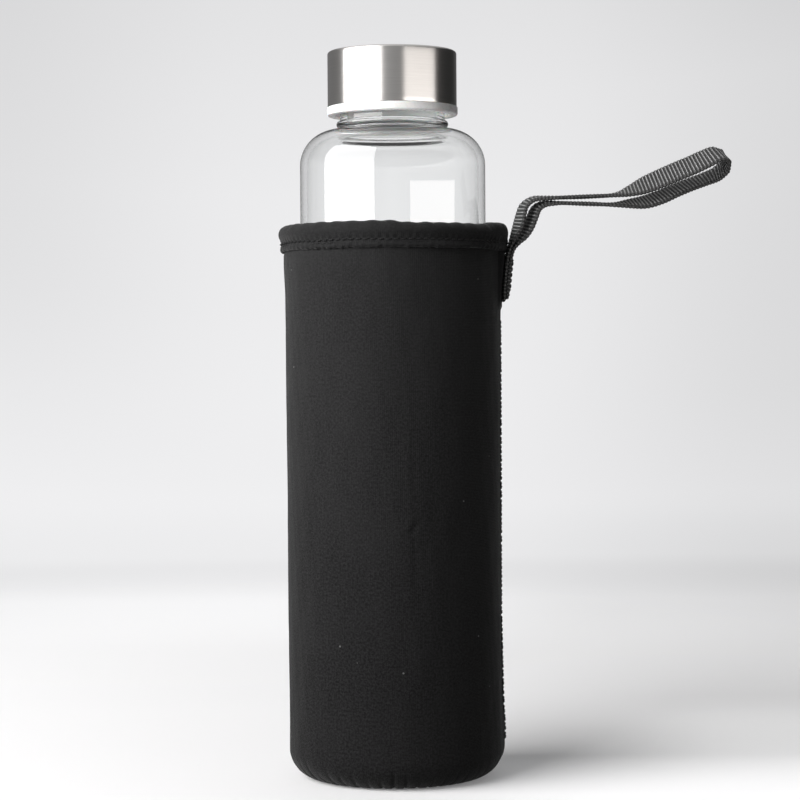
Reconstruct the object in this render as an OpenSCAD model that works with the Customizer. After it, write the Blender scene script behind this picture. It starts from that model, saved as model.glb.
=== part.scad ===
// Glass drinking bottle in a soft sleeve, with a steel screw cap and a wrist strap.
// Millimetres, +Z up. The origin is on the bottle's axis, on the plane that the sleeve's base rests on.
// The strap is on the +X side.

/* [Glass bottle] */
// Outside diameter of the glass body
glass_d = 62; // [58:0.5:66]
// Thickness of the glass wall
glass_t = 2.2; // [1.6:0.1:3]
// Height of the glass bottle, from its foot to its lip
glass_h = 235.7; // [225:0.1:260]
// Radius of the rounded shoulder
shoulder_r = 12; // [10:0.5:12.5]
// Diameter of the neck under the thread
neck_d = 35; // [34:0.1:35.4]
// Diameter of the bore through the neck
bore_d = 30.4; // [26:0.1:31]
// Height of the neck above the shoulder
neck_h = 22.7; // [21.5:0.1:24]

/* [Cap] */
// Outside diameter of the steel cap
cap_d = 43.2; // [42.4:0.1:46]
// Height of the steel cap
cap_h = 18.5; // [16:0.1:19]
// Thickness of the steel
steel_t = 0.5; // [0.3:0.1:0.8]
// Radius of the cap's rounded top edge
cap_edge_r = 0.9; // [0.85:0.05:1.5]
// Height of the plastic liner's lip below the steel
lip_h = 2.8; // [1.5:0.1:3.2]

/* [Thread] */
// Rise of the thread in one turn
pitch = 4; // [3.6:0.1:4.4]
// Number of turns of each thread
turns = 1.5; // [1:0.25:1.75]
// Diameter over the neck's thread
thread_d = 37.2; // [36.8:0.1:37.2]

/* [Sleeve] */
// Thickness of the sleeve's foam-backed cloth
cloth_t = 3.1; // [2:0.1:4]
// Slack between the glass and the sleeve
slack = 1.6; // [0.8:0.1:2.5]
// Height of the sleeve
sleeve_h = 184.2; // [150:0.1:195]
// Height of the turned-over hem
hem_h = 8.7; // [8:0.1:12]
// Outside radius of the sleeve's rounded lower edge
edge_r = 9.3; // [8:0.1:11]

/* [Strap] */
// Width of the strap's webbing
strap_w = 10; // [8:0.5:14]
// Thickness of the strap's webbing
strap_t = 1.3; // [1:0.1:1.4]

/* [Hidden] */
$fn = 96;

// Glass bottle
foot_z = 3.3;
glass_r = glass_d / 2;
heel_r = 8;
base_t = 5;
punt_h = 1.6;
glass_top = foot_z + glass_h;
shoulder_z = glass_top - neck_h;
neck_r = neck_d / 2;
bore_r = bore_d / 2;
bead_r = 1.2;
bead_z = shoulder_z + 1.9;
bend_r = min(3.4, glass_r - shoulder_r - bore_r - 0.1);
lip_round = 1;

// Cap, from the glass lip upwards
seal_gap = 0.1;
seal_t = 1.2;
liner_t = 1.45;
glue = 0.05;
cap_r = cap_d / 2;
liner_r = cap_r - steel_t - glue;
liner_in_r = thread_d / 2 + 0.35;
liner_top = glass_top + 2 * seal_gap + seal_t + liner_t;
cap_top = liner_top + glue + steel_t;
steel_z = cap_top - cap_h;
liner_z = steel_z - lip_h;

// Threads: a trapezoidal ridge on the neck, and one in the liner half a pitch below it
thread_foot = 2.2;
thread_crest = 1;
thread_sink = 0.3;
neck_thread_z = glass_top - 4.2 - turns * pitch;
liner_thread_z = neck_thread_z - pitch / 2;

// Sleeve
sleeve_in_r = glass_r + slack;
sleeve_r = sleeve_in_r + cloth_t;
fold_t = 3;
wall_top = sleeve_h - fold_t;
hem_r = sleeve_r + 2.7;
hem_z = sleeve_h - hem_h;
stitch_z = hem_z + 2.7;
groove_depth = 1.1;
seam_r = sleeve_r - edge_r + 0.5;
ply = 0.05;

// Threads of the seams
yarn_d = 0.5;
lie = 0.03;

// Strap
root_x = hem_r + 2.6;
root_z = stitch_z + 0.4;
root_r = strap_t + 0.1;
tail_h = 18;
tail_t = 2 * strap_t + 0.15;

// Points on an arc in the plane of the profile
function arc(c, r, from, to, n = 8) =
    [for (i = [0 : n]) let (a = from + (to - from) * i / n) [c[0] + r * cos(a), c[1] + r * sin(a)]];

// A helical ridge of trapezoidal section that fades out at both ends.
// It stands on radius foot_r, and side is 1 for an outer ridge and -1 for an inner one.
module thread_ridge(foot_r, depth, side, z) {
    steps = round(turns * 36);
    fade = 4;
    function height(i) = depth * min(1, (i + 0.4) / fade, (steps - i + 0.4) / fade);
    function section(i) =
        let (a = 360 * turns * i / steps, c = z + pitch * turns * i / steps,
             inner = foot_r - side * thread_sink, outer = foot_r + side * height(i))
        [for (p = [[inner, -thread_foot / 2], [outer, -thread_crest / 2],
                   [outer, thread_crest / 2], [inner, thread_foot / 2]])
            [p[0] * cos(a), p[0] * sin(a), c + p[1]]];
    points = [for (i = [0 : steps]) each section(i)];
    sides = [for (i = [0 : steps - 1], k = [0 : 3])
        let (a = 4 * i + k, b = 4 * i + (k + 1) % 4)
        each side > 0 ? [[a, b + 4, a + 4], [a, b, b + 4]] : [[a, a + 4, b + 4], [a, b + 4, b]]];
    first = side > 0 ? [3, 2, 1, 0] : [0, 1, 2, 3];
    last = [for (k = [3 : -1 : 0]) 4 * steps + first[k]];
    polyhedron(points, concat(sides, [first, last]));
}

// One straight stitch of yarn, centred on the origin and lying along Y
module stitch(length) {
    rotate([90, 0, 0])
        cylinder(h = length, d = yarn_d, center = true, $fn = 16);
}

module glass_bottle() {
    outside = concat(
        [[0, foot_z + punt_h], [glass_r * 0.4, foot_z + punt_h * 0.6], [glass_r * 0.5, foot_z]],
        arc([glass_r - heel_r, foot_z + heel_r], heel_r, -90, 0),
        arc([glass_r - shoulder_r, shoulder_z - shoulder_r], shoulder_r, 0, 90, 10),
        [[neck_r + 0.5, shoulder_z], [neck_r, shoulder_z + 0.5]],
        arc([neck_r, bead_z], bead_r, -90, 90),
        arc([neck_r - lip_round, glass_top - lip_round], lip_round, 0, 90, 4));
    inside = concat(
        arc([bore_r + lip_round, glass_top - lip_round], lip_round, 90, 180, 4),
        arc([bore_r + bend_r, shoulder_z - glass_t + bend_r], bend_r, 180, 270, 5),
        arc([glass_r - shoulder_r, shoulder_z - shoulder_r], shoulder_r - glass_t, 90, 0, 10),
        arc([glass_r - heel_r, foot_z + base_t + heel_r - glass_t], heel_r - glass_t, 0, -90),
        [[0, foot_z + base_t]]);
    color([0.85, 0.9, 0.9, 0.35])
        union() {
            rotate_extrude() polygon(concat(outside, inside));
            thread_ridge(neck_r, (thread_d - neck_d) / 2, 1, neck_thread_z);
        }
}

module cap_shell() {
    in_r = cap_r - steel_t;
    in_edge = cap_edge_r - steel_t;
    color([0.72, 0.71, 0.69])
        rotate_extrude()
            polygon(concat(
                [[in_r, steel_z], [cap_r, steel_z]],
                arc([cap_r - cap_edge_r, cap_top - cap_edge_r], cap_edge_r, 0, 90, 6),
                [[0, cap_top], [0, cap_top - steel_t]],
                arc([in_r - in_edge, cap_top - steel_t - in_edge], in_edge, 90, 0, 4)));
}

module cap_liner() {
    lip_r = cap_r + 0.3;
    edge = 0.6;
    roof = liner_top - liner_t;
    color([0.95, 0.95, 0.94])
        union() {
            rotate_extrude()
                polygon(concat(
                    [[0, liner_top], [0, roof], [liner_in_r, roof], [liner_in_r, liner_z + edge]],
                    [[liner_in_r + edge, liner_z]],
                    arc([lip_r - edge, liner_z + edge], edge, -90, 0, 4),
                    [[lip_r, steel_z - glue], [liner_r, steel_z - glue]],
                    [[liner_r, liner_top - edge], [liner_r - edge, liner_top]]));
            thread_ridge(liner_in_r, liner_in_r - neck_r - 0.4, -1, liner_thread_z);
        }
}

module cap_seal() {
    color([0.9, 0.9, 0.88])
        translate([0, 0, glass_top + seal_gap])
            difference() {
                cylinder(h = seal_t, r = liner_in_r - 0.35);
                translate([0, 0, -1]) cylinder(h = seal_t + 2, r = bore_r - 0.9);
            }
}

module sleeve_wall() {
    centre = [sleeve_r - edge_r, edge_r];
    color([0.09, 0.09, 0.1])
        rotate_extrude()
            polygon(concat(
                arc(centre, edge_r, -80, 0),
                [[sleeve_r, wall_top], [sleeve_in_r, wall_top]],
                arc(centre, edge_r - cloth_t, 0, -90),
                [[seam_r, cloth_t], [seam_r, 1.4]]));
}

module sleeve_hem() {
    leg_r = sleeve_r + ply;
    color([0.1, 0.1, 0.11])
        rotate_extrude()
            difference() {
                polygon(concat(
                    [[leg_r, wall_top + ply], [leg_r, hem_z]],
                    arc([hem_r - 0.8, hem_z + 0.8], 0.8, -90, 0, 4),
                    arc([hem_r - 2.8, sleeve_h - 2.8], 2.8, 0, 90, 8),
                    arc([sleeve_in_r + 1.8, sleeve_h - 1.8], 1.8, 90, 180, 6),
                    [[sleeve_in_r, wall_top + ply]]));
                translate([hem_r + 1.4, stitch_z]) circle(r = groove_depth + 1.4, $fn = 48);
            }
}

module sleeve_base() {
    rim = seam_r - ply;
    color([0.08, 0.08, 0.09])
        rotate_extrude()
            polygon([[0, 0], [rim - 1.2, 0], [rim, 1.4], [rim, cloth_t], [0, cloth_t]]);
}

// Slanted stitches that close the wall's two edges down the +X side
module side_seam_thread() {
    step = 3;
    low = edge_r + 3;
    count = floor((root_z - tail_h - 3 - low) / step);
    color([0.05, 0.05, 0.05])
        for (i = [0 : count - 1])
            translate([sleeve_r + yarn_d / 2 + lie, 0, low + step * i])
                rotate([25, 0, 0]) stitch(2.6);
}

// Stitches round the hem, in the groove that they pull into it
module hem_thread() {
    count = 96;
    color([0.05, 0.05, 0.05])
        for (i = [0 : count - 1])
            rotate([0, 0, 360 * (i + 0.5) / count])
                translate([hem_r - groove_depth + yarn_d / 2 + lie, 0, stitch_z]) stitch(1.9);
}

// Short stitches that join the base to the wall, in the groove between them
module base_seam_thread() {
    count = 56;
    color([0.05, 0.05, 0.05])
        for (i = [0 : count - 1])
            rotate([0, 0, 360 * i / count])
                translate([seam_r - 0.05, 0, 0.42]) rotate([0, 0, 90]) stitch(1);
}

// The strap's two ends, laid together and sewn to the side of the sleeve
module strap_tail() {
    in_x = sleeve_r + 0.1;
    out_x = hem_r + 0.2;
    top = root_z - root_r - 0.2;
    foot = root_z - tail_h;
    color([0.07, 0.07, 0.07])
        translate([0, strap_w / 2, 0])
            rotate([90, 0, 0])
                linear_extrude(strap_w)
                    polygon([[in_x, foot + 0.6], [in_x + 0.6, foot], [in_x + tail_t - 0.9, foot],
                             [in_x + tail_t, foot + 0.9], [in_x + tail_t, hem_z - 4.4],
                             [out_x + tail_t - 0.3, hem_z - 0.7], [out_x + tail_t - 0.3, top - 1.9],
                             [out_x + tail_t - 1.9, top], [out_x, top],
                             [out_x, hem_z - 0.9], [in_x, hem_z - 4]]);
}

// The route of the strap's middle line: out along the upper limb, round the end and back along
// the lower one. Each point is [x, y, z, roll] from the root, and roll is the tilt of the webbing's
// width about X, in degrees.
strap_route = [
    [-0.68, 0, 0, 0], [-0.5, 0, 1.5, 3], [0.4, 0, 4.2, 8], [1.8, 0, 7.6, 14], [3.8, 0, 11.8, 12],
    [7, 0, 14.7, 6], [13.9, 0, 14.9, 2], [24, 0, 14.8, 2], [32, 0, 15.1, 4], [39.6, -0.5, 16.8, 10],
    [51.1, -1.2, 22, 16], [63.1, -1.6, 26.6, 18], [69, -1.5, 27.4, 18], [72.3, 0, 25, 18],
    [69.4, 1.6, 20.4, 18], [60.6, 1.5, 15.6, 16], [51.1, 1.2, 12.6, 12], [42, 0.6, 11.7, 8],
    [32, 0, 11.8, 4], [24, 0, 12.1, 2], [13.9, 0, 12.4, 3], [8.6, 0, 11.6, 8], [7.2, 0, 7.8, 12],
    [5.2, 0, 4, 8], [2.2, 0, 1.4, 3], [0.68, 0, 0, 0]];

// A point between two of the route's points, on a smooth curve through all of them
function between(p, i, t) =
    let (n = len(p) - 1, a = p[max(i - 1, 0)], b = p[i], c = p[i + 1], d = p[min(i + 2, n)])
    0.5 * (2 * b + (c - a) * t + (2 * a - 5 * b + 4 * c - d) * t * t
        + (3 * b - a - 3 * c + d) * t * t * t);
function unit(v) = v / norm(v);
function xyz(v) = [v[0], v[1], v[2]];

// The free loop of the strap, with a round root that it hangs from
module strap_loop() {
    fine = 4;
    last = (len(strap_route) - 1) * fine;
    line = [for (i = [0 : last])
        i == last ? strap_route[len(strap_route) - 1]
            : between(strap_route, floor(i / fine), i % fine / fine)];
    function ring(i) =
        let (along = unit(xyz(line[min(i + 1, last)]) - xyz(line[max(i - 1, 0)])),
             tilt = [0, cos(line[i][3]), sin(line[i][3])],
             across = unit(tilt - (tilt * along) * along),
             up = cross(along, across))
        [for (k = [[-1, -1], [1, -1], [1, 1], [-1, 1]])
            xyz(line[i]) + across * k[0] * strap_w / 2 + up * k[1] * strap_t / 2];
    sides = [for (i = [0 : last - 1], k = [0 : 3])
        let (a = 4 * i + k, b = 4 * i + (k + 1) % 4)
        each [[a, b + 4, b], [a, a + 4, b + 4]]];
    color([0.07, 0.07, 0.07])
        translate([root_x, 0, root_z])
            union() {
                polyhedron([for (i = [0 : last]) each ring(i)],
                    concat(sides, [[0, 1, 2, 3], [for (k = [3 : -1 : 0]) 4 * last + k]]));
                rotate([90, 0, 0]) cylinder(h = strap_w, r = root_r, center = true);
            }
}

// Two rows of stitches down the tail and one across each end of them
module strap_tack_thread() {
    out_x = sleeve_r + 0.1 + tail_t + yarn_d / 2 + lie;
    low = root_z - tail_h + 2;
    rows = 3;
    step = 2.5;
    edge_y = strap_w / 2 - 1.3;
    color([0.05, 0.05, 0.05]) {
        for (side = [-1, 1], i = [0 : rows - 1])
            translate([out_x, side * edge_y, low + step * (i + 0.5)])
                rotate([90, 0, 0]) stitch(1.7);
        for (z = [low - 0.6, low + step * rows + 0.6], side = [-1, 0, 1])
            translate([out_x, side * 2.2, z]) stitch(1.6);
    }
}

glass_bottle();
cap_shell();
cap_liner();
cap_seal();
sleeve_wall();
sleeve_hem();
sleeve_base();
side_seam_thread();
hem_thread();
base_seam_thread();
strap_tail();
strap_loop();
strap_tack_thread();
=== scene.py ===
import math

import bmesh
import bpy
import numpy as np
from mathutils import Matrix, Vector


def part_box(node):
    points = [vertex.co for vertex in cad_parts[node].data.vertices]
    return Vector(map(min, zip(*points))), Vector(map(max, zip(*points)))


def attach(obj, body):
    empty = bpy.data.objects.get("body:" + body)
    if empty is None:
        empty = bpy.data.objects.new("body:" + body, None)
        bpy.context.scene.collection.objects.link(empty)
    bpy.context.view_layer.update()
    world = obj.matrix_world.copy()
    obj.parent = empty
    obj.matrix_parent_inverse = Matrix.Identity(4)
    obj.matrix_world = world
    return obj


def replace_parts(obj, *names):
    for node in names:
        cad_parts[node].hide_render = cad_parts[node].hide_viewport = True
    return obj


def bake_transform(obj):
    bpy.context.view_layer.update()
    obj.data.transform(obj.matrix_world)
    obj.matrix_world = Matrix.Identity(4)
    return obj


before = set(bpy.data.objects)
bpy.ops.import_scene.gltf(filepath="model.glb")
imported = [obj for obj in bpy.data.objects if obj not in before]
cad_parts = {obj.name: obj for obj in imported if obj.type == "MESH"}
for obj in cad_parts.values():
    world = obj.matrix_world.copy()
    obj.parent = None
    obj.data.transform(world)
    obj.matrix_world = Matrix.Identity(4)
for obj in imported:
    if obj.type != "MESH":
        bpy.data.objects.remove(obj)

# The looks of a glass bottle in a cloth sleeve. Shapes are worked out in millimetres, in the
# frame of the CAD, and turned into metres when their mesh is made.
MM = 0.001
TURN = 2 * math.pi
FABRIC = "Fabric"
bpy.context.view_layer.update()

# How bright the paper is with the distance behind the bottle plus the height, at the left and right. The dip
# in the right ramp near the base is a painted shadow band.
PAPER_LEFT = [
    (-260, 0.08), (-15, 0.085), (60, 0.105), (173, 0.155), (350, 0.25), (583, 0.58), (900, 0.715),
    (1580, 0.78), (1990, 0.78), (2293, 0.765), (2546, 0.76), (2775, 0.725), (2960, 0.69)]
PAPER_RIGHT = [
    (-260, 0.18), (-15, 0.27), (40, 0.08), (90, 0.045), (173, 0.12), (350, 0.2), (583, 0.42), (900, 0.57),
    (1580, 0.66), (1990, 0.66), (2293, 0.69), (2546, 0.71), (2775, 0.7), (2960, 0.63)]
PAPER_START, PAPER_SPAN = 300, 3600


def corners(node):
    """The lowest and highest corner of a CAD node, in millimetres."""
    return [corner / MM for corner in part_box(node)]


# ---------------------------------------------------------------- measures from the frame
glass_low, glass_high = corners("glass_bottle")
shell_low, shell_high = corners("cap_shell")
liner_low, liner_high = corners("cap_liner")
seal_low, seal_high = corners("cap_seal")
wall_high = corners("sleeve_wall")[1]
hem_low, hem_high = corners("sleeve_hem")
disc_high = corners("sleeve_base")[1]
tail_low = corners("strap_tail")[0]
seam_low, seam_high = corners("side_seam_thread")

glass_r, foot_z, glass_top = glass_high.x, glass_low.z, glass_high.z
glass_t = 2.2
neck_r, bore_r = 17.5, 15.2
shoulder_r = 12
shoulder_z = glass_top - 22.7

pitch, turns = 4, 1.5
thread_r = 18.6
neck_thread_z = glass_top - 4.2 - turns * pitch
liner_thread_z = neck_thread_z - pitch / 2

cloth_t = 3.1
sleeve_r, sleeve_in_r = wall_high.x, wall_high.x - cloth_t
hem_r, sleeve_h = 38.4, hem_high.z
stitch_z = hem_low.z + 2.7
edge_r = 9.3
seam_r = sleeve_r - edge_r + 0.5
hem_stitches = 96
base_stitches = 56
yarn_r = 0.25

strap_w, strap_t = 10, 1.3
rib = 1.2


# ---------------------------------------------------------------- outlines and grids
def arc(centre, radius, start, end, steps=8):
    """Points on an arc of an outline, from one angle to another in degrees."""
    angles = np.radians(np.linspace(start, end, steps + 1))
    return [(centre[0] + radius * math.cos(a), centre[1] + radius * math.sin(a)) for a in angles]


def run(start, end, step):
    """Points on a straight line, both ends included, at most step apart."""
    count = max(1, math.ceil(math.dist(start, end) / step))
    return [tuple(np.array(start) + (np.array(end) - start) * i / count) for i in range(count + 1)]


def joined(*parts):
    """One outline made of several, without the points that repeat."""
    points = []
    for point in (p for part in parts for p in part):
        if not points or math.dist(points[-1], point) > 1e-6:
            points.append(point)
    return np.array(points, float)


def smooth(t):
    t = np.clip(t, 0, 1)
    return t * t * (3 - 2 * t)


def bell(distance, width):
    """1 at no distance, falling to 0 at width."""
    return 1 - smooth(np.abs(distance) / width)


def across_turn(angle, centre):
    """The signed angle from centre to angle, the short way round."""
    return (angle - centre + math.pi) % TURN - math.pi


def ripple(position, seed):
    """A smooth wandering value of about -1 to 1, made of sine waves, along one direction."""
    draws = np.random.default_rng(seed)
    total = 0
    for octave in range(4):
        total = total + np.sin(position * (1 + 0.7 * octave) + draws.uniform(0, TURN)) / (1 + octave)
    return total / 2


def turned(outline, columns, shape=None):
    """A grid of points: the outline of (radius, height) turned round the bottle's axis."""
    angle = np.arange(columns)[None, :] * TURN / columns
    r = outline[:, :1] + 0 * angle
    z = outline[:, 1:] + 0 * angle
    if shape:
        r, z = shape(r, z, angle)
    return np.stack([r * np.cos(angle), r * np.sin(angle), z], axis=-1)


def outward(outline, closed):
    """The direction that faces out of the outline at each of its points."""
    if closed:
        along = np.roll(outline, -1, 0) - np.roll(outline, 1, 0)
    else:
        along = np.gradient(outline, axis=0)
    normal = np.stack([along[:, 1], -along[:, 0]], axis=1)
    normal /= np.linalg.norm(normal, axis=1)[:, None] + 1e-9
    area = np.sum(outline[:, 0] * np.roll(outline[:, 1], -1) - np.roll(outline[:, 0], -1) * outline[:, 1])
    return normal * (1 if area > 0 else -1)


def lengths(points, closed):
    """The distance along a line of points at each of them, and round to the first if closed."""
    if closed:
        points = np.concatenate([points, points[:1]])
    steps = np.linalg.norm(np.diff(points, axis=0), axis=1)
    return np.concatenate([[0], np.cumsum(steps)])


class Shape:
    """The points, faces and fabric coordinates of one piece, gathered from grids."""

    def __init__(self):
        self.points, self.faces, self.fabric = [], [], []
        self.count = 0

    def grid(self, points, round_rows, round_columns, u, v):
        """Adds faces over a grid. u and v are the fabric's coordinates, by column and by row."""
        rows, columns = points.shape[:2]
        i = np.arange(rows if round_rows else rows - 1)[:, None]
        j = np.arange(columns if round_columns else columns - 1)[None, :]
        near, far = i * columns, (i + 1) % rows * columns
        quads = [near + j, near + (j + 1) % columns, far + (j + 1) % columns, far + j]
        self.faces.append(np.stack(quads, -1).reshape(-1, 4) + self.count)
        u, v = np.asarray(u, float), np.asarray(v, float)
        places = [(u[j], v[i]), (u[j + 1], v[i]), (u[j + 1], v[i + 1]), (u[j], v[i + 1])]
        whole = np.zeros((len(i), j.shape[1]))
        corner = [np.stack([a + whole, b + whole], -1) for a, b in places]
        self.fabric.append(np.stack(corner, -2).reshape(-1, 2))
        self.points.append(points.reshape(-1, 3))
        self.count += rows * columns
        return self

    def tube(self, path, radius):
        """Adds a round thread along a path, with pointed ends."""
        sides = 8
        path = np.array(path, float)
        along = np.gradient(path, axis=0)
        along /= np.linalg.norm(along, axis=1)[:, None]
        side = np.cross(along, [0.31, 0.17, 0.93])
        side /= np.linalg.norm(side, axis=1)[:, None]
        up = np.cross(along, side)
        radii = np.full(len(path), radius)
        radii[0] = radii[-1] = 1e-4
        angle = np.arange(sides) * TURN / sides
        ring = np.cos(angle)[None, :, None] * side[:, None] + np.sin(angle)[None, :, None] * up[:, None]
        points = path[:, None] + radii[:, None, None] * ring
        u = np.linspace(0, TURN * radius, sides + 1)
        return self.grid(points, False, True, u, lengths(path, False))

    def piece(self, name, material, slot, sharp=35):
        """The Blender object of this shape, in metres, with closed ends and faces outwards."""
        mesh = bpy.data.meshes.new(name)
        mesh.from_pydata((np.concatenate(self.points) * MM).tolist(), [], np.concatenate(self.faces).tolist())
        layer = mesh.uv_layers.new(name=FABRIC)
        layer.data.foreach_set("uv", np.concatenate(self.fabric).astype(np.float32).ravel())
        work = bmesh.new()
        work.from_mesh(mesh)
        bmesh.ops.remove_doubles(work, verts=work.verts, dist=2e-7)
        bmesh.ops.recalc_face_normals(work, faces=work.faces)
        work.to_mesh(mesh)
        work.free()
        mesh.shade_smooth()
        mesh.set_sharp_from_angle(angle=math.radians(sharp))
        mesh.materials.append(material)
        made = bpy.data.objects.new(name, mesh)
        bpy.context.scene.collection.objects.link(made)
        return made if slot else made


def turned_shape(outline, columns, radius, closed, shape=None):
    """A Shape of one outline turned round the axis. radius sets the fabric's scale round it."""
    grid = turned(outline, columns, shape)
    u = np.linspace(0, TURN * radius, columns + 1)
    return Shape().grid(grid, closed, True, u, lengths(outline, closed))


# ---------------------------------------------------------------- materials
class Look:
    """A Principled material, and short ways to add nodes to it. Names give a socket's spaces as _."""

    def __init__(self, name, **inputs):
        self.material = bpy.data.materials.new(name)
        self.material.use_nodes = True
        self.tree = self.material.node_tree
        self.surface = self.tree.nodes["Principled BSDF"]
        self.set(self.surface, **inputs)

    def set(self, node, **inputs):
        for name, value in inputs.items():
            self.feed(node.inputs[name.replace("_", " ")], value)

    def feed(self, socket, value):
        if isinstance(value, bpy.types.NodeSocket):
            self.tree.links.new(value, socket)
        else:
            socket.default_value = value

    def add(self, kind, settings=None, **inputs):
        node = self.tree.nodes.new("ShaderNode" + kind)
        for name, value in (settings or {}).items():
            setattr(node, name, value)
        self.set(node, **inputs)
        return node

    def math(self, operation, *values):
        node = self.add("Math", {"operation": operation})
        for socket, value in zip(node.inputs, values):
            self.feed(socket, value)
        return node.outputs[0]

    def place(self):
        """The point in the object's own space, in millimetres."""
        here = self.add("TexCoord").outputs["Object"]
        scaled = self.add("VectorMath", {"operation": "SCALE"}, Vector=here, Scale=1 / MM)
        return scaled.outputs[0]

    def fabric(self):
        """The place on the fabric, in millimetres round and along it."""
        return self.add("UVMap", {"uv_map": FABRIC}).outputs[0]

    def parts(self, vector):
        return self.add("SeparateXYZ", Vector=vector).outputs

    def join(self, x, y, z=0.0):
        return self.add("CombineXYZ", X=x, Y=y, Z=z).outputs[0]

    def noise(self, vector, scale, detail=3.0, rough=0.55):
        return self.add("TexNoise", Vector=vector, Scale=scale, Detail=detail, Roughness=rough).outputs[0]

    def span(self, value, low, high, to_low=0.0, to_high=1.0):
        names = ("Value", "From Min", "From Max", "To Min", "To Max")
        node = self.add("MapRange", {"interpolation_type": "SMOOTHSTEP"})
        for name, number in zip(names, (value, low, high, to_low, to_high)):
            self.feed(node.inputs[name], number)
        return node.outputs[0]

    def mix(self, factor, low, high):
        node = self.add("Mix", {"data_type": "RGBA"})
        self.feed(node.inputs[0], factor)
        self.feed(node.inputs[6], low)
        self.feed(node.inputs[7], high)
        return node.outputs[2]

    def bump(self, height, depth):
        """Raises the surface by height times depth millimetres."""
        node = self.add("Bump", Height=height, Strength=1.0, Distance=depth * MM)
        self.feed(self.surface.inputs["Normal"], node.outputs[0])

    def sine(self, value, period, phase=0.0):
        """A wave of 0 to 1 over value, in millimetres."""
        turn = self.math("MULTIPLY_ADD", value, TURN / period, phase)
        return self.math("MULTIPLY_ADD", self.math("SINE", turn), 0.5, 0.5)


def clear_glass():
    look = Look("clear_glass", Transmission_Weight=1.0, IOR=1.49, Specular_IOR_Level=0.5)
    # Painted shade: the glass's colour turns grey towards its grazing edges, standing in for the dark edges
    # seen through it.
    edge = look.add("LayerWeight", Blend=0.5).outputs["Facing"]
    painted_edge_shade = look.mix(look.span(edge, 0.6, 0.97), (0.99, 0.995, 0.993, 1), (0.42, 0.43, 0.43, 1))
    smudge = look.noise(look.place(), 0.06, 4.0)
    look.set(look.surface, Base_Color=painted_edge_shade, Roughness=look.span(smudge, 0.45, 0.75, 0.0, 0.03))
    clear = look.add("BsdfTransparent", Color=(0.93, 0.94, 0.935, 1)).outputs[0]
    shadow = look.add("LightPath").outputs["Is Shadow Ray"]
    either = look.add("MixShader")
    for socket, value in zip(either.inputs, (shadow, look.surface.outputs[0], clear)):
        look.feed(socket, value)
    look.feed(look.tree.nodes["Material Output"].inputs[0], either.outputs[0])
    return look.material


def brushed_steel():
    look = Look("brushed_steel", Metallic=1.0, Anisotropic=0.75, Anisotropic_Rotation=0.25)
    x, y, z = look.parts(look.place())
    turn = look.math("MULTIPLY", look.math("ARCTAN2", y, x), 2.2)
    radius = look.math("SQRT", look.math("ADD", look.math("MULTIPLY", x, x), look.math("MULTIPLY", y, y)))

    def streaks(fineness, detail):
        """Lines that run round the axis."""
        across = [look.math("MULTIPLY", value, fineness) for value in (z, radius)]
        return look.noise(look.join(turn, *across), 1.0, detail)

    lines, broad = streaks(14.0, 4.0), streaks(3.0, 3.0)
    shade = look.mix(look.span(lines, 0.25, 0.75), (0.585, 0.57, 0.555, 1), (0.665, 0.648, 0.632, 1))
    look.set(look.surface, Base_Color=shade, Roughness=look.span(broad, 0.3, 0.7, 0.275, 0.295))
    tangent = look.add("Tangent", {"direction_type": "RADIAL", "axis": "Z"}).outputs[0]
    look.feed(look.surface.inputs["Tangent"], tangent)
    look.bump(lines, 0.0005)
    return look.material


def white_plastic():
    look = Look("white_plastic", Subsurface_Weight=0.15, Subsurface_Scale=0.002)
    place = look.place()
    shade = look.mix(look.noise(place, 0.12), (0.74, 0.74, 0.735, 1), (0.80, 0.80, 0.795, 1))
    rough = look.span(look.noise(place, 0.9), 0.3, 0.7, 0.24, 0.36)
    look.set(look.surface, Base_Color=shade, Roughness=rough)
    look.bump(look.noise(place, 2.5, 2.0), 0.01)
    return look.material


def silicone():
    look = Look("silicone", Subsurface_Weight=0.4, Subsurface_Scale=0.003)
    place = look.place()
    shade = look.mix(look.noise(place, 0.4), (0.76, 0.76, 0.74, 1), (0.85, 0.85, 0.83, 1))
    rough = look.span(look.noise(place, 1.5), 0.3, 0.7, 0.45, 0.6)
    look.set(look.surface, Base_Color=shade, Roughness=rough)
    look.bump(look.noise(place, 4.0), 0.02)
    return look.material


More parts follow.
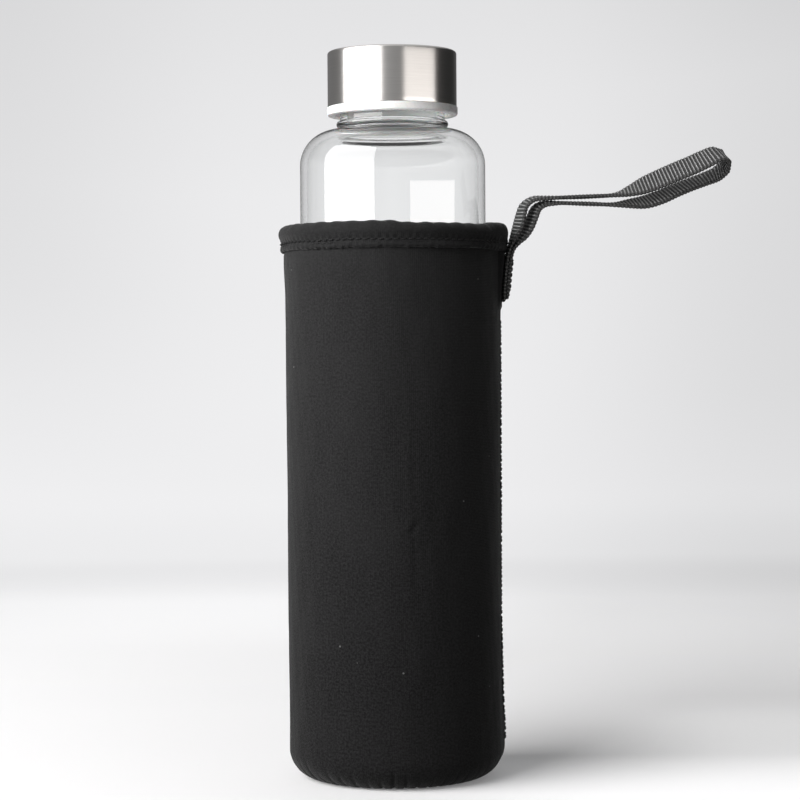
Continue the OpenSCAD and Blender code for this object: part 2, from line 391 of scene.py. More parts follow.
def knit():
    """Fine black warp knit over foam: rows of small loops, a faint mottle and a little lint, with painted
    light making it lighter towards the top and painted shade darkening it towards the bottom.
    """
    look = Look("knit_cloth", Sheen_Weight=0.1, Sheen_Roughness=0.4, Specular_IOR_Level=0.08)
    fabric = look.fabric()
    u, v = look.parts(fabric)[:2]
    wale = look.sine(u, 0.62)
    lean = look.math("MULTIPLY", wale, 2.4)
    turn = look.math("ADD", look.math("MULTIPLY", v, TURN / 0.5), lean)
    course = look.math("MULTIPLY_ADD", look.math("SINE", turn), 0.5, 0.5)
    loops = look.math("ADD", look.math("MULTIPLY", wale, 0.5), look.math("MULTIPLY", course, 0.5))
    fuzz = look.noise(fabric, 3.2, 4.0, 0.65)
    mottle = look.noise(fabric, 1.3, 5.0, 0.75)
    worn = look.noise(fabric, 0.03, 3.0)
    height = look.math("ADD", look.math("MULTIPLY", loops, 0.55), look.math("MULTIPLY", fuzz, 0.8))
    dark = look.mix(look.span(mottle, 0.36, 0.64), (0.0025, 0.0025, 0.0026, 1), (0.0185, 0.0185, 0.019, 1))
    z = look.parts(look.place())[2]
    # Painted light: the cloth's colour is made lighter towards the top of the sleeve.
    painted_top_light = look.span(z, 0.0, 190.0, 0.0, 0.42)
    # Random rubbed wear, plus the painted light towards the top.
    wear_and_painted_lightening = look.math("ADD", look.span(worn, 0.35, 0.7, 0.0, 0.2), painted_top_light)
    shade = look.mix(wear_and_painted_lightening, dark, (0.019, 0.019, 0.0194, 1))
    # Painted shade: the colour is blended towards black at the bottom of the sleeve.
    painted_bottom_shade = look.span(z, 0.0, 165.0, 0.24, 0.0)
    shade = look.mix(painted_bottom_shade, shade, (0, 0, 0, 1))
    cells = look.add("TexVoronoi", Vector=fabric, Scale=0.14, Randomness=1.0)
    chance = look.parts(cells.outputs["Color"])[0]
    near = look.span(cells.outputs["Distance"], 0.03, 0.055, 1.0, 0.0)
    lint = look.math("MULTIPLY", near, look.math("GREATER_THAN", chance, 0.72))
    shade = look.mix(lint, shade, (0.11, 0.11, 0.11, 1))
    look.set(look.surface, Base_Color=shade, Roughness=look.span(fuzz, 0.3, 0.7, 0.82, 0.98))
    look.bump(height, 0.12)
    return look.material


def thread_look():
    """Black spun thread with its plies twisted round it."""
    look = Look("black_thread", Specular_IOR_Level=0.2)
    u, v = look.parts(look.fabric())[:2]
    ply = look.sine(look.math("ADD", v, look.math("MULTIPLY", u, 0.8)), 0.55)
    shade = look.mix(ply, (0.003, 0.003, 0.003, 1), (0.011, 0.011, 0.0115, 1))
    look.set(look.surface, Base_Color=shade, Roughness=look.span(ply, 0.0, 1.0, 0.75, 0.55))
    look.bump(ply, 0.06)
    return look.material


def webbing():
    """Black webbing: warp yarns along it, drawn over and under the ribs that cross it, with a painted sheen
    in grey on the rib crests.
    """
    look = Look("black_webbing", Sheen_Weight=0.1, Sheen_Roughness=0.35, Specular_IOR_Level=0.5)
    u, v = look.parts(look.fabric())[:2]
    yarn = look.sine(u, 0.5)
    crest = look.math("ABSOLUTE", look.math("SINE", look.math("MULTIPLY", v, math.pi / rib)))
    fibre = look.noise(look.join(look.math("MULTIPLY", u, 6.0), look.math("MULTIPLY", v, 0.9)), 1.0, 4.0)
    narrow = look.math("POWER", crest, 3.4)
    raised = look.math("MULTIPLY", narrow, look.math("MULTIPLY_ADD", yarn, 0.4, 0.6))
    selvedge = look.span(look.sine(u, 10.7, -4.13), 0.84, 0.96, 1.0, 0.16)
    # The light grey on the rib crests is a painted sheen, not the webbing's own colour.
    low, high = (0.003, 0.003, 0.003, 1), (0.45, 0.45, 0.455, 1)
    lit = look.span(look.math("MULTIPLY", raised, fibre), 0.16, 0.6)
    shade = look.mix(look.math("MULTIPLY", lit, selvedge), low, high)
    look.set(look.surface, Base_Color=shade, Roughness=look.span(crest, 0.0, 1.0, 0.8, 0.42))
    look.bump(look.math("ADD", look.math("MULTIPLY", yarn, 0.6), fibre), 0.09)
    return look.material


def paper():
    """The pale seamless paper that the bottle stands on, which glows more with distance."""
    look = Look("pale_paper", Specular_IOR_Level=0.1, Roughness=0.7)
    place = look.place()
    x, y, z = look.parts(place)
    radius = look.math("SQRT", look.math("ADD", look.math("MULTIPLY", x, x), look.math("MULTIPLY", y, y)))
    away = look.math("ADD", look.math("MAXIMUM", y, look.math("SUBTRACT", radius, 160.0)), z)
    side = look.math("DIVIDE", x, look.math("MAXIMUM", look.math("ADD", away, 900.0), 300.0))
    ramp = []
    for stops in (PAPER_LEFT, PAPER_RIGHT):
        node = look.add("ValToRGB", Fac=look.math("DIVIDE", look.math("ADD", away, PAPER_START), PAPER_SPAN))
        marks = node.color_ramp.elements
        while len(marks) < len(stops):
            marks.new(0.5)
        for mark, (distance, level) in zip(marks, stops):
            mark.position = (distance + PAPER_START) / PAPER_SPAN
            mark.color = (level, level, level * 1.012, 1)
        ramp.append(node.outputs[0])
    near = look.span(away, 350, 900, 1.0, 0.0)
    sharp, broad = look.span(side, -0.02, 0.09), look.span(side, 0.0, 0.175)
    across = look.math("MULTIPLY_ADD", near, look.math("SUBTRACT", sharp, broad), broad)
    glow = look.mix(across, ramp[0], ramp[1])
    # Painted light: the glow is lifted towards white beside the painted shadow band, to the right of the
    # base.
    from_painted_shadow = look.math("ABSOLUTE", look.math("SUBTRACT", away, 60.0))
    painted_light_near_shadow = look.span(from_painted_shadow, 30.0, 130.0, 0.2, 0.0)
    painted_light_right_of_shadow = look.math("MULTIPLY", look.span(side, 0.05, 0.13), painted_light_near_shadow)
    glow = look.mix(painted_light_right_of_shadow, glow, (1, 1, 1, 1))
    aside = look.span(look.math("ABSOLUTE", side), 0.04, 0.16)
    edge = look.math("MULTIPLY", aside, look.span(away, 1500, 2600))
    body = look.mix(look.span(radius, 350, 850), (0.8, 0.8, 0.806, 1), (0.2, 0.2, 0.202, 1))
    look.set(look.surface, Base_Color=body, Emission_Color=glow)
    path = look.add("LightPath").outputs
    faded = look.math("MULTIPLY_ADD", edge, -0.13, 1.0)
    seen = look.math("SUBTRACT", 1.0, path["Is Diffuse Ray"])
    look.feed(look.surface.inputs["Emission Strength"], look.math("MULTIPLY", faded, seen))
    grain = look.noise(place, 0.9)
    look.set(look.surface, Roughness=look.span(grain, 0.3, 0.7, 0.65, 0.75))
    return look.material


# ---------------------------------------------------------------- glass and cap
def thread_rise(angle, z, start_z, depth):
    """How far a helical thread stands above its wall at each point."""
    foot, crest = 2.2, 1.0
    rise = 0 * angle * z
    for lap in range(math.ceil(turns)):
        along = angle / TURN + lap
        ends = smooth(np.minimum(along, turns - along) * 9)
        flank = smooth((foot / 2 - np.abs(z - start_z - pitch * along)) / (foot / 2 - crest / 2))
        rise = np.maximum(rise, depth * ends * flank)
    return rise


def glass_bottle():
    heel_r, base_t, punt_h = 8, 5, 1.6
    bead_r, bead_z = 1.2, shoulder_z + 1.9
    bend_r = 3.4
    lip = 1
    floor_z = foot_z + base_t
    shoulder_at = (glass_r - shoulder_r, shoulder_z - shoulder_r)
    neck_top = glass_top - lip
    outside = joined(
        [(0, foot_z + punt_h), (glass_r * 0.2, foot_z + punt_h * 0.97)],
        [(glass_r * 0.38, foot_z + punt_h * 0.7)],
        arc((glass_r * 0.55, foot_z + 1.5), 1.5, -130, -90, 4),
        arc((glass_r - heel_r, foot_z + heel_r), heel_r, -90, 0, 16),
        run((glass_r, foot_z + heel_r), (glass_r, shoulder_z - shoulder_r), 12),
        arc(shoulder_at, shoulder_r, 0, 90, 32),
        arc((neck_r + 0.6, shoulder_z + 0.6), 0.6, -90, -180, 5),
        arc((neck_r, bead_z), bead_r, -90, 90, 12),
        run((neck_r, bead_z + bead_r), (neck_r, neck_top), 0.25),
        arc((neck_r - lip, neck_top), lip, 0, 90, 6))
    inside = joined(
        arc((bore_r + lip, neck_top), lip, 90, 180, 6),
        run((bore_r, neck_top), (bore_r, shoulder_z), 6),
        arc((bore_r + bend_r, shoulder_z - glass_t + bend_r), bend_r, 180, 270, 12),
        arc(shoulder_at, shoulder_r - glass_t, 90, 0, 28),
        run((glass_r - glass_t, shoulder_z - shoulder_r), (glass_r - glass_t, floor_z + heel_r), 12),
        arc((glass_r - heel_r, floor_z + heel_r - glass_t), heel_r - glass_t, 0, -90, 14),
        [(0, floor_z)])

    def with_thread(r, z, angle):
        on_neck = (np.abs(r - neck_r) < 0.01) & (z > bead_z + bead_r)
        return r + on_neck * thread_rise(angle, z, neck_thread_z, thread_r - neck_r), z

    shape = turned_shape(joined(outside, inside), 240, glass_r, False, with_thread)
    piece = shape.piece("glass_body", clear_glass(), "clear_glass", sharp=50)
    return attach(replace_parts(piece, "glass_bottle"), "bottle")


def steel_cup():
    r, top, low = shell_high.x, shell_high.z, shell_low.z
    sheet, edge, hem = 0.5, 0.9, 0.16
    outline = joined(
        run((0, top), (r - edge, top), 1.5),
        arc((r - edge, top - edge), edge, 90, 0, 10),
        run((r, top - edge), (r, low + hem), 1.5),
        arc((r - hem, low + hem), hem, 0, -90, 4),
        arc((r - sheet + hem, low + hem), hem, -90, -180, 4),
        run((r - sheet, low + hem), (r - sheet, top - edge), 2),
        arc((r - edge, top - edge), edge - sheet, 0, 90, 5),
        run((r - edge, top - sheet), (0, top - sheet), 4))
    shape = turned_shape(outline, 192, r, False)
    piece = shape.piece("steel_cup", brushed_steel(), "brushed_steel", sharp=50)
    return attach(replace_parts(piece, "cap_shell"), "cap")


def cap_liner(plastic):
    inner_r, roof, low = 18.95, liner_high.z - 1.45, liner_low.z
    lip_r, ledge_z = liner_high.x, shell_low.z - 0.05
    core_r = shell_high.x - 0.55
    edge = 0.7
    outline = joined(
        run((0, liner_high.z), (core_r - 0.6, liner_high.z), 3),
        arc((core_r - 0.6, liner_high.z - 0.6), 0.6, 90, 0, 5),
        run((core_r, liner_high.z - 0.6), (core_r, ledge_z), 2),
        arc((lip_r - 0.25, ledge_z - 0.25), 0.25, 90, 0, 4),
        arc((lip_r - edge, low + edge), edge, 0, -90, 7),
        arc((inner_r + 0.5, low + 0.5), 0.5, -90, -180, 5),
        run((inner_r, low + 0.5), (inner_r, roof), 0.25),
        run((inner_r, roof), (0, roof), 3))

    def with_thread(r, z, angle):
        on_wall = (np.abs(r - inner_r) < 0.01) & (z < roof - 0.1) & (z > low + 0.6)
        return r - on_wall * thread_rise(angle, z, liner_thread_z, inner_r - neck_r - 0.4), z

    shape = turned_shape(outline, 192, inner_r, False, with_thread)
    piece = shape.piece("liner_cup", plastic, "white_plastic")
    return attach(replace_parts(piece, "cap_liner"), "cap")


def seal_ring():
    r, inner_r, edge = seal_high.x, 14.3, 0.3
    low, high = seal_low.z, seal_high.z
    outline = joined(
        arc((r - edge, high - edge), edge, 90, 0, 4), arc((r - edge, low + edge), edge, 0, -90, 4),
        run((r - edge, low), (inner_r + edge, low), 1),
        arc((inner_r + edge, low + edge), edge, -90, -180, 4),
        arc((inner_r + edge, high - edge), edge, 180, 90, 4),
        run((inner_r + edge, high), (r - edge, high), 1))[:-1]
    piece = turned_shape(outline, 128, r, True).piece("seal_washer", silicone(), "silicone")
    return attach(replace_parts(piece, "cap_seal"), "seal")


# ---------------------------------------------------------------- sleeve
# Angles are measured round the axis from +X, where the side seam runs. The front is at -90 degrees.
front = -math.pi / 2


def seam_ridge(angle, z):
    """The raised seam where the wall's two edges are sewn, pinched in at each stitch."""
    off = across_turn(angle, 0) * sleeve_r
    pinch = 0.5 + 0.5 * np.cos(TURN * (z - seam_low.z) / 3)
    ridge = (0.3 - 0.16 * pinch) * bell(off, 2.4) - 0.25 * bell(off, 0.5)
    pulled = -0.22 * bell(np.abs(off) - 5, 4.5) * (0.6 + 0.4 * ripple(z / 7, 5))
    under_tails = smooth((z - 155) / 3) * (0.55 + 1.2 * np.clip((z - 160) / 13, 0, 1))
    low_bulge = 0.55 * np.exp(-((z - 14) / 10) ** 2) * bell(off, 18)
    return ridge + pulled + under_tails * (1 - smooth((np.abs(off) - 4.8) / 3)) + low_bulge


def lean(angle, z):
    """The wall stands a little fuller at the top on the side away from its seam."""
    fuller = 0.62 * smooth((z - 85) / 75) + 0.4 * smooth((z - 160) / 12)
    thinner = 0.15 * smooth((z - 30) / 30)
    return (fuller + 0.1) * (0.5 - 0.5 * np.cos(angle)) - thinner * (0.5 + 0.5 * np.cos(angle))


def base_puckers(angle, z):
    """Gathers round the lower edge, where the wall is sewn to the base."""
    count = 47
    wander = 0.9 * ripple(3 * angle, 7)
    fold = np.maximum(0, np.cos(count * angle + wander)) ** 2
    height = 8 + 3 * ripple(11 * angle, 9)
    reach = 1 - smooth(z / height)
    strength = 0.62 + 0.38 * ripple(5 * angle, 8)
    return -0.62 * fold * reach * strength


def front_crease(angle, z):
    """The faint crease down the front, with a dimple in it."""
    off = across_turn(angle, front + math.radians(9.7)) * sleeve_r
    span = smooth((z - 56) / 14) * smooth((130 - z) / 14)
    line = 0.06 * bell(off + 1.4, 2.2) - 0.07 * bell(off - 0.5, 1.8)
    dent = np.exp(-((off / 1.7) ** 2) - ((z - 85 - 0.8 * off) / 1.1) ** 2)
    lip = np.exp(-(((off + 0.5) / 1.9) ** 2) - ((z - 87.4 - 0.8 * off) / 1.1) ** 2)
    return line * span - 0.55 * dent + 0.25 * lip


def slack(angle, z):
    """Soft unevenness of the foam-backed cloth."""
    wide = 0.2 * ripple(3 * angle + z / 40, 1) + 0.14 * ripple(7 * angle - z / 23, 2)
    fine = 0.05 * ripple(26 * angle + z / 9, 3) + 0.035 * ripple(19 * angle - z / 4, 4)
    return wide * smooth(z / 20) + fine


def wall_puff(angle, z):
    """How far the wall's outside stands from its plain round shape."""
    puff = slack(angle, z) * smooth(z / 6) + seam_ridge(angle, z) * smooth((z - 3) / 6)
    return puff + front_crease(angle, z) + base_puckers(angle, z) + lean(angle, z) * smooth(z / 10)


def sleeve_wall(cloth):
    top = wall_high.z
    centre = (sleeve_r - edge_r, edge_r)
    outer = joined(
        [(seam_r, 0.35)],
        arc(centre, edge_r, -86, 0, 22),
        run((sleeve_r, edge_r), (sleeve_r, hem_low.z - 1), 1.25),
        run((sleeve_r, hem_low.z - 1), (sleeve_r, top - 0.4), 2))
    inner = joined(
        arc((sleeve_r - 0.4, top - 0.4), 0.4, 0, 90, 3), arc((sleeve_in_r + 0.4, top - 0.4), 0.4, 90, 180, 3),
        run((sleeve_in_r, top - 0.4), (sleeve_in_r, edge_r), 4),
        arc(centre, edge_r - cloth_t, 0, -90, 10),
        [(seam_r, cloth_t), (seam_r, 1.4)])
    outline = joined(outer, inner)
    normal = outward(outline, True)
    z = outline[:, 1]
    shown = (np.arange(len(outline)) < len(outer)) * smooth((hem_low.z + 2 - z) / 2.5)
    shown[0] = 0

    def soften(r, z, angle):
        puff = wall_puff(angle, z) * shown[:, None]
        return r + normal[:, :1] * puff, np.maximum(z + normal[:, 1:] * puff, 0.12)

    shape = turned_shape(outline, 560, sleeve_r, True, soften)
    piece = shape.piece("sleeve_cloth", cloth, "black_cloth", sharp=70)
    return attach(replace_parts(piece, "sleeve_wall"), "sleeve")


def hem_band(cloth):
    low, top, leg_r = hem_low.z, sleeve_h, sleeve_r + 0.05
    groove = 1.15
    outline = joined(
        run((leg_r, wall_high.z + 0.05), (leg_r, low + 0.5), 0.8),
        arc((leg_r + 0.35, low + 0.45), 0.35, 180, 270, 3),
        arc((hem_r - 1.7, low + 1.1), 1.1, -80, 50, 9),
        arc((hem_r + 0.55, stitch_z), groove + 0.45, 222, 138, 7),
        arc((hem_r - 2.6, stitch_z + 3.2), 2.6, -38, 12, 6),
        arc((hem_r - 2.8, top - 2.8), 2.8, 8, 90, 9),
        arc((sleeve_in_r + 1.8, top - 1.8), 1.8, 90, 180, 8),
        run((sleeve_in_r, top - 1.8), (sleeve_in_r, wall_high.z + 0.05), 0.6),
        run((sleeve_in_r, wall_high.z + 0.05), (leg_r, wall_high.z + 0.05), 1))[:-1]
    normal = outward(outline, True)
    facing_out = smooth((outline[:, 0] - sleeve_r - 0.4) / 1.2)[:, None]
    upper = smooth((outline[:, 1] - top + 4.5) / 3.5)[:, None]
    near_stitch = bell(outline[:, 1] - stitch_z, 2.8)[:, None]
    lip = smooth((stitch_z - 0.4 - outline[:, 1]) / 1.2)[:, None]

    def gathered(r, z, angle):
        beat = np.cos(hem_stitches * angle)
        seam = bell(across_turn(angle, math.radians(-8)), math.radians(21)) ** 0.6
        right = smooth(across_turn(angle, math.radians(-90)) / 0.1)
        right = right * (1 - smooth(across_turn(angle, math.radians(-33)) / 0.06))
        puff = 0.1 * beat * near_stitch + 0.09 * ripple(31 * angle, 12) * near_stitch
        puff = puff + 0.12 * ripple(9 * angle, 13) + 0.25 * seam * (1 - lip)
        bump = bell(across_turn(angle, 0), math.radians(13))
        puff = puff + (0.7 * lip + 0.9 * near_stitch * (1 - lip)) * bump
        wave = 0.13 * np.sin(38 * angle + 1.1 * ripple(4 * angle, 14)) + 0.08 * ripple(23 * angle, 15)
        lift = upper * (wave + 0.5 * seam - 0.6 * right)
        ragged = lip * (0.2 * ripple(43 * angle, 16) + 0.25 * ripple(6 * angle, 17) - 0.1 * beat)
        higher = z + normal[:, 1:] * puff * facing_out + lift + ragged * facing_out
        return r + normal[:, :1] * puff * facing_out, higher

    shape = turned_shape(outline, 768, hem_r, True, gathered)
    piece = shape.piece("hem_fold", cloth, "black_cloth", sharp=70)
    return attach(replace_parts(piece, "sleeve_hem"), "sleeve")


def base_disc(cloth):
    rim, t = disc_high.x, cloth_t
    outline = joined(
        run((0, 0), (rim - 1.4, 0), 1.2),
        arc((rim - 1.4, 1.4), 1.4, -90, 0, 6),
        run((rim, 1.4), (rim, t), 1),
        run((rim, t), (0, t), 4))
    under = ((outline[:, 1] < 1.5) * smooth((outline[:, 0] - rim + 5) / 4))[:, None]

    def pulled(r, z, angle):
        dip = under * (0.16 + 0.16 * np.cos(base_stitches * angle) + 0.1 * ripple(12 * angle, 21))
        soft = 1 + ripple(2 * angle + r / 6, 22)
        rise = 0.09 * (outline[:, 1] < 0.5)[:, None] * soft * smooth((rim - r) / 9)
        return r, np.maximum(z + dip + rise, 0)

    shape = turned_shape(outline, 336, rim, False, pulled)
    piece = shape.piece("base_disc", cloth, "black_cloth", sharp=60)
    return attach(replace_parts(piece, "sleeve_base"), "sleeve")


def hem_stitching(thread):
    """Lockstitches in the groove round the hem, each dipping into the cloth at its ends."""
    shape = Shape()
    depth = hem_r - 1.15 + yarn_r
    for i in range(hem_stitches):
        middle = TURN * (i + 0.5) / hem_stitches
        half = 0.95 / hem_r
        path = []
        for t in np.linspace(-1, 1, 7):
            r = depth + 0.22 - 0.62 * abs(t) ** 3
            a = middle + half * t * 1.12
            sag = 0.12 * math.sin(9 * middle) + 0.06 * t
            path.append((r * math.cos(a), r * math.sin(a), stitch_z + sag))
        shape.tube(path, yarn_r)
    piece = shape.piece("hem_stitches", thread, "black_thread", sharp=80)
    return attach(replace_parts(piece, "hem_thread"), "sleeve")


def side_seam_stitching(thread):
    """A zigzag of thread that crosses the side seam, and the chains that lock it at both sides."""
    step, half = 3, 1.5
    low, high = seam_low.z + 0.3, seam_high.z
    count = int((high - low) / step)

    def at(y, z, lift=0.0):
        a = y / sleeve_r
        r = sleeve_r + wall_puff(a, z) + yarn_r * 0.35 + 0.12 * max(0.0, 1 - (y / half) ** 2) + lift
        return (r * math.cos(a), r * math.sin(a), z)

    shape = Shape()
    draws = np.random.default_rng(31)
    crossing = np.linspace(-1.08, 1.08, 9)
    for i in range(count):
        z = low + step * i
        jitter = draws.uniform(-0.25, 0.25, 2)
        there = [at(half * t, z + jitter[0] + 0.6 * (t + 1), -0.5 * abs(t) ** 4) for t in crossing]
        back = [at(-half * t, z + 1.3 + jitter[1] + 0.75 * (t + 1), -0.5 * abs(t) ** 4) for t in crossing]
        shape.tube(there, yarn_r * 0.95)
        shape.tube(back, yarn_r * 0.8)
        for side in (-1, 1):
            loop = []
            for t in np.linspace(0, 1, 7):
                wide = half + 0.22 * math.sin(math.pi * t)
                loop.append(at(side * wide, z + step * t * 0.9, -0.35 * abs(2 * t - 1) ** 4))
            shape.tube(loop, yarn_r * 0.8)
    piece = shape.piece("side_seam_stitches", thread, "black_thread", sharp=80)
    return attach(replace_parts(piece, "side_seam_thread"), "sleeve")


def base_stitching(thread):
    """Stitches across the seam between the wall and the base."""
    shape = Shape()
    for i in range(base_stitches):
        a = TURN * i / base_stitches
        slant = 0.5 / seam_r
        path = []
        for t in np.linspace(-1, 1, 7):
            r = seam_r - 0.05 + 0.75 * t
            path.append((r * math.cos(a + slant * t), r * math.sin(a + slant * t), 0.38 + 0.5 * abs(t) ** 3))
        shape.tube(path, yarn_r)
    piece = shape.piece("base_stitches", thread, "black_thread", sharp=80)
    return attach(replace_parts(piece, "base_seam_thread"), "sleeve")


# ---------------------------------------------------------------- strap
# The middle line of the webbing, from the inner tail, up and out along the upper limb, round the
# end, back along the lower limb and down the outer tail. Each point is x, y, z and the roll of
# the webbing's width about its own line, in degrees.
strap_route = [
    (36.95, 0, 158.7, 0), (37.3, 0, 164.5, 0), (37.7, 0, 169, 0), (38.2, 0, 173, 0), (38.9, 0, 176.3, 2),
    (40, 0, 179.2, 6), (41.1, 0, 181.8, 12), (42.2, 0, 184.8, 16), (43, 0, 188.1, 14), (44.2, 0, 191, 12),
    (47.2, 0, 193, 9), (51.5, 0, 193.3, 7), (58, 0, 193.5, 3), (66.2, 0, 193.75, 2), (74.5, 0, 194.2, 6),
    (79.5, -0.4, 195.5, 20), (84.5, -1, 197.4, 34), (89.6, -1.7, 199.5, 38), (94.6, -2.3, 201.6, 39),
    (99.8, -2.8, 203.7, 39), (104.2, -3.2, 205.7, 38), (108.3, -3.1, 207.4, 32), (111, -1.6, 206.6, 8),
    (111.3, 1, 203.8, -16), (108.9, 2.9, 201.2, -26), (104.3, 3.3, 199.3, -25), (99.6, 3, 197.6, -25),
    (94.6, 2.4, 195.6, -26), (89.6, 1.8, 193.4, -27), (84.5, 1.1, 191.8, -25), (79.5, 0.5, 191.25, -17),
    (74.5, 0.1, 190.95, -7), (66.2, 0, 191.25, -2), (57.5, 0, 191.6, -4), (54, 0, 191.6, -7),
    (50.6, 0, 191.3, -11), (48.1, 0, 189.8, -15), (46.6, 0, 186.6, -17), (45.2, 0, 183.3, -17),
    (43.6, 0, 180.6, -13), (41.8, 0, 178.5, -6), (40.15, 0, 176.2, -2), (39.35, 0, 173.2, 0),
    (38.85, 0, 169, 0), (38.4, 0, 164.5, 0), (38.05, 0, 159.6, 0)]


def spline(points, step):
    """Points about step apart on a smooth curve through all of the given ones."""
    points = np.array(points, float)
    padded = np.concatenate([[2 * points[0] - points[1]], points, [2 * points[-1] - points[-2]]])
    line = []
    for i in range(len(points) - 1):
        a, b, c, d = padded[i:i + 4]
        count = max(2, round(np.linalg.norm((c - b)[:3]) / step))
        for t in np.arange(count) / count:
            line.append(0.5 * (2 * b + (c - a) * t + (2 * a - 5 * b + 4 * c - d) * t ** 2
                               + (3 * b - a - 3 * c + d) * t ** 3))
    return np.array(line + [points[-1]])


def webbing_section():
    """The outline of the webbing's cross-section: how far across and how high each point is."""
    flat = np.linspace(-1, 1, 11) * (strap_w / 2 - strap_t / 2)
    end = np.radians(np.linspace(90, -90, 7)[1:-1])
    across = np.concatenate([flat, flat[-1] + strap_t / 2 * np.cos(end),
                             flat[::-1], flat[0] - strap_t / 2 * np.cos(end)])
    high = np.concatenate([flat * 0 + strap_t / 2, strap_t / 2 * np.sin(end),
                           flat * 0 - strap_t / 2, -strap_t / 2 * np.sin(end)])
    return across, high


def strap_piece(material):
    """The whole strap: a ribbed band swept along its route, thicker at each rib."""
    line = spline(strap_route, 0.14)
    where, roll = line[:, :3], np.radians(line[:, 3])[:, None]
    along = np.gradient(where, axis=0)
    along /= np.linalg.norm(along, axis=1)[:, None]
    level = np.array([0, 1, 0]) - along[:, 1:2] * along
    level /= np.linalg.norm(level, axis=1)[:, None]
    out = np.cross(along, level)
    side = np.cos(roll) * level + np.sin(roll) * out
    up = np.cos(roll) * out - np.sin(roll) * level
    across, high = webbing_section()
    s = lengths(where, False)
    crest = np.abs(np.sin(math.pi * s / rib))[:, None]
    ends = smooth(np.minimum(s, s[-1] - s) / 1.2)[:, None]
    on_edge = smooth((np.abs(across) - strap_w / 2 + 1.2) / 1.1)[None, :]
    thick = high * (0.72 + 0.34 * crest) * (0.55 + 0.45 * ends)
    wide = across * (1 + on_edge * (0.035 * crest - 0.02))
    points = where[:, None] + side[:, None] * wide[..., None] + up[:, None] * thick[..., None]
    around = lengths(np.stack([across, high], 1), True)
    shape = Shape().grid(points, False, True, around, s)
    for row in (0, -1):
        centre = np.repeat(points[row].mean(0)[None], len(across), 0)
        inner = 0.5 * (points[row] + centre)
        end = np.stack([points[row], inner, centre])
        shape.grid(end, False, True, around, s[row] + np.array([0, 0.1, 0.2]))
    piece = shape.piece("strap_webbing", material, "black_webbing", sharp=70)
    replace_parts(piece, "strap_tail", "strap_loop")
    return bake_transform(piece)


def tack_stitching(thread):
    """A box of stitches through both tails and the wall."""
    shape = Shape()
    tail = np.array(strap_route)[-5:, [2, 0]]
    tail = tail[np.argsort(tail[:, 0])]
    low, high, edge = tail_low.z + 2.2, tail_low.z + 11.6, strap_w / 2 - 1.3

    def stitch(y0, z0, y1, z1):
        path = []
        for t in np.linspace(-1, 1, 7):
            y, z = (y0 + y1 + (y1 - y0) * t) / 2, (z0 + z1 + (z1 - z0) * t) / 2
            face = np.interp(z, tail[:, 0], tail[:, 1]) + strap_t / 2 + 0.1
            path.append((face + 0.06 - 0.4 * abs(t) ** 3, y, z))
        shape.tube(path, yarn_r)

    count = 5
    step = (high - low) / count
    for i in range(count):
        for y in (-edge, edge):
            stitch(y, low + step * i + 0.1, y, low + step * (i + 1) - 0.1)
        slope = 2 * edge / count
        for side in (-1, 1):
            y = side * (-edge + slope * i)
            stitch(y, low + step * i + 0.1, y + side * (slope - 0.1), low + step * (i + 1) - 0.1)
    for z in (low - 0.2, high + 0.2):
        for i in range(4):
            y = -edge + i * edge / 2
            stitch(y + 0.08, z, y + edge / 2 - 0.08, z)
    piece = shape.piece("tack_stitches", thread, "black_thread", sharp=80)
    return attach(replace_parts(piece, "strap_tack_thread"), "sleeve")


# ---------------------------------------------------------------- stage, light and camera
def floor_paper():
    """Pale paper under the bottle, which curves up into a wall all round it."""
    reach, bend, height = 2400, 900, 3200
    outline = joined(
        run((0, 0), (reach - bend, 0), 100), arc((reach - bend, bend), bend, -90, 0, 16),
        run((reach, bend), (reach, height), 200))
    outline[:, 1] -= 0.05
    piece = turned_shape(outline, 96, reach, False).piece("floor_paper", paper(), None, sharp=80)
    piece.visible_glossy = piece.visible_diffuse = False


def softbox(name, azimuth, half_angle, distance, low, high, radiance, colour):
    """A softbox facing the bottle. Azimuth is from the camera's side, positive to the right."""
    light = bpy.data.lights.new(name, "AREA")
    light.shape = "RECTANGLE"
    light.size = 2 * distance * math.tan(math.radians(half_angle))
    light.size_y = high - low
    light.energy = radiance * math.pi * light.size * light.size_y
    light.color = colour
    lamp = bpy.data.objects.new(name, light)
    bpy.context.scene.collection.objects.link(lamp)
    a = math.radians(azimuth)
    lamp.location = (distance * math.sin(a), -distance * math.cos(a), (low + high) / 2)
    lamp.rotation_euler = Vector((-math.sin(a), math.cos(a), 0)).to_track_quat("-Z", "Y").to_euler()
    lamp.visible_camera = False
    lamp.visible_transmission = False


def window_strip():
    """A low curved window to the right, which only shows as a reflection."""
    low, high, distance = 20, 271, 900
    angle = np.radians(np.linspace(21, 81, 41) - 90)
    ring = np.stack([distance * np.cos(angle), distance * np.sin(angle)], 1)
    rows = np.stack([np.column_stack([ring, np.full(len(ring), z)]) for z in (low, high)])
    warm = (1, 0.96, 0.93, 1)
    look = Look("window_glow", Base_Color=(0, 0, 0, 1), Emission_Color=warm, Emission_Strength=4.8)
    shape = Shape().grid(rows, False, False, np.arange(len(ring)) * 25, [0, high - low])
    strip = shape.piece("window_strip", look.material, None)
    strip.visible_camera = strip.visible_diffuse = strip.visible_transmission = strip.visible_shadow = False


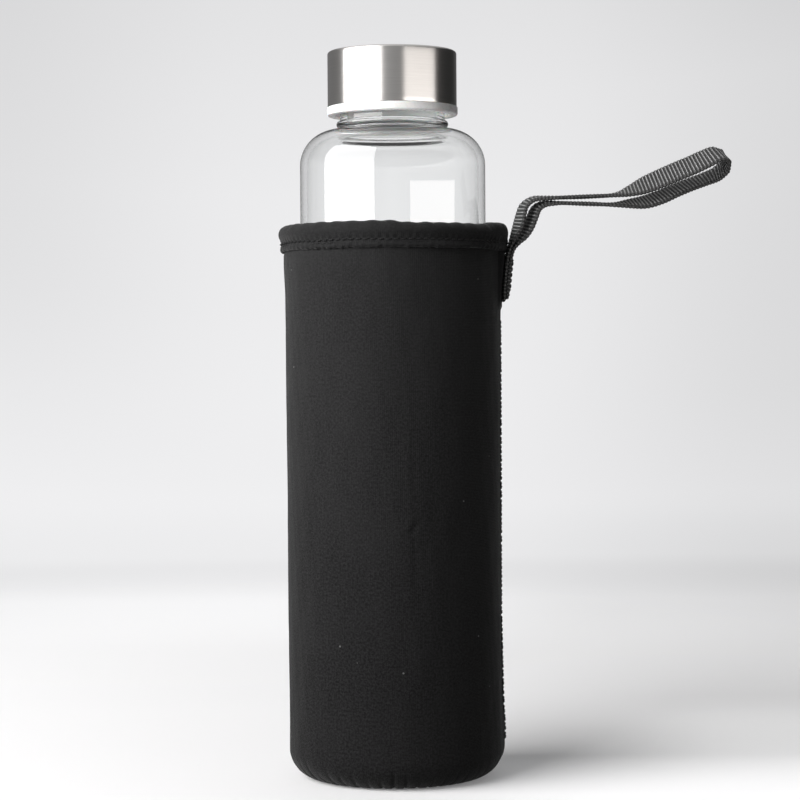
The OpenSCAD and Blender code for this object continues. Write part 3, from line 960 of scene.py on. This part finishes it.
def studio_world():
    """A pale room, dimmer in what it lights from the front and in what the glass and steel reflect."""
    world = bpy.data.worlds.new("studio")
    world.use_nodes = True
    tree = world.node_tree

    def node(kind, *values, **settings):
        made = tree.nodes.new("ShaderNode" + kind)
        for name, value in settings.items():
            setattr(made, name, value)
        for socket, value in zip(made.inputs, values):
            if isinstance(value, bpy.types.NodeSocket):
                tree.links.new(value, socket)
            elif value is not None:
                socket.default_value = value
        return made.outputs

    def span(value, *limits):
        return node("MapRange", value, *limits, interpolation_type="SMOOTHSTEP")[0]

    def grey(level):
        return node("Background", node("CombineColor", level, level, level)[0])[0]

    x, y, z = node("SeparateXYZ", node("TexCoord")["Generated"])
    slope = node("Math", z, operation="ABSOLUTE")[0]
    back, level = span(y, 0.5, 0.8, 0.0, 1.8), span(slope, 0.25, 0.45, 1.0, 0.0)
    behind = node("Math", back, level, operation="MULTIPLY")[0]
    fill = node("Math", behind, 0.14, operation="ADD")[0]
    sides = node("Math", span(x, -0.1, 0.75, 0.2, 0.03), span(y, -1.0, -0.75, 0.16, 0.0), operation="ADD")[0]
    mirrored = node("Math", sides, span(slope, 0.4, 0.8, 0.0, 0.6), operation="ADD")[0]
    path = node("LightPath")
    lit = node("MixShader", path["Is Diffuse Ray"], grey(0.81), grey(fill))[0]
    seen = node("MixShader", path["Is Glossy Ray"], lit, grey(mirrored))[0]
    tree.links.new(seen, tree.nodes["World Output"].inputs[0])
    bpy.context.scene.world = world


def camera():
    """In front of the bottle, a little above its middle, through a long lens."""
    eye = Vector((1.96, -795, 139)) * MM
    down, roll = math.radians(0.94), math.radians(0.38)
    lens = bpy.data.cameras.new("camera")
    lens.lens, lens.sensor_width = 106.6, 36
    lens.clip_start, lens.clip_end = 0.05, 20
    view = bpy.data.objects.new("camera", lens)
    bpy.context.scene.collection.objects.link(view)
    turn = Matrix.Rotation(math.pi / 2 - down, 4, "X") @ Matrix.Rotation(-roll, 4, "Z")
    view.matrix_world = Matrix.Translation(eye) @ turn
    bpy.context.scene.camera = view


camera()
studio_world()
softbox("softbox_left", -57, 35, 0.9, 0.0, 1.1, 7.5, (1.0, 0.99, 0.985))
window_strip()
floor_paper()

cloth = knit()
thread = thread_look()
glass_bottle()
steel_cup()
cap_liner(white_plastic())
seal_ring()
base_disc(cloth)
sleeve_wall(cloth)
hem_band(cloth)
hem_stitching(thread)
side_seam_stitching(thread)
base_stitching(thread)
strap_piece(webbing())
tack_stitching(thread)

bpy.context.scene.view_settings.view_transform = "Standard"
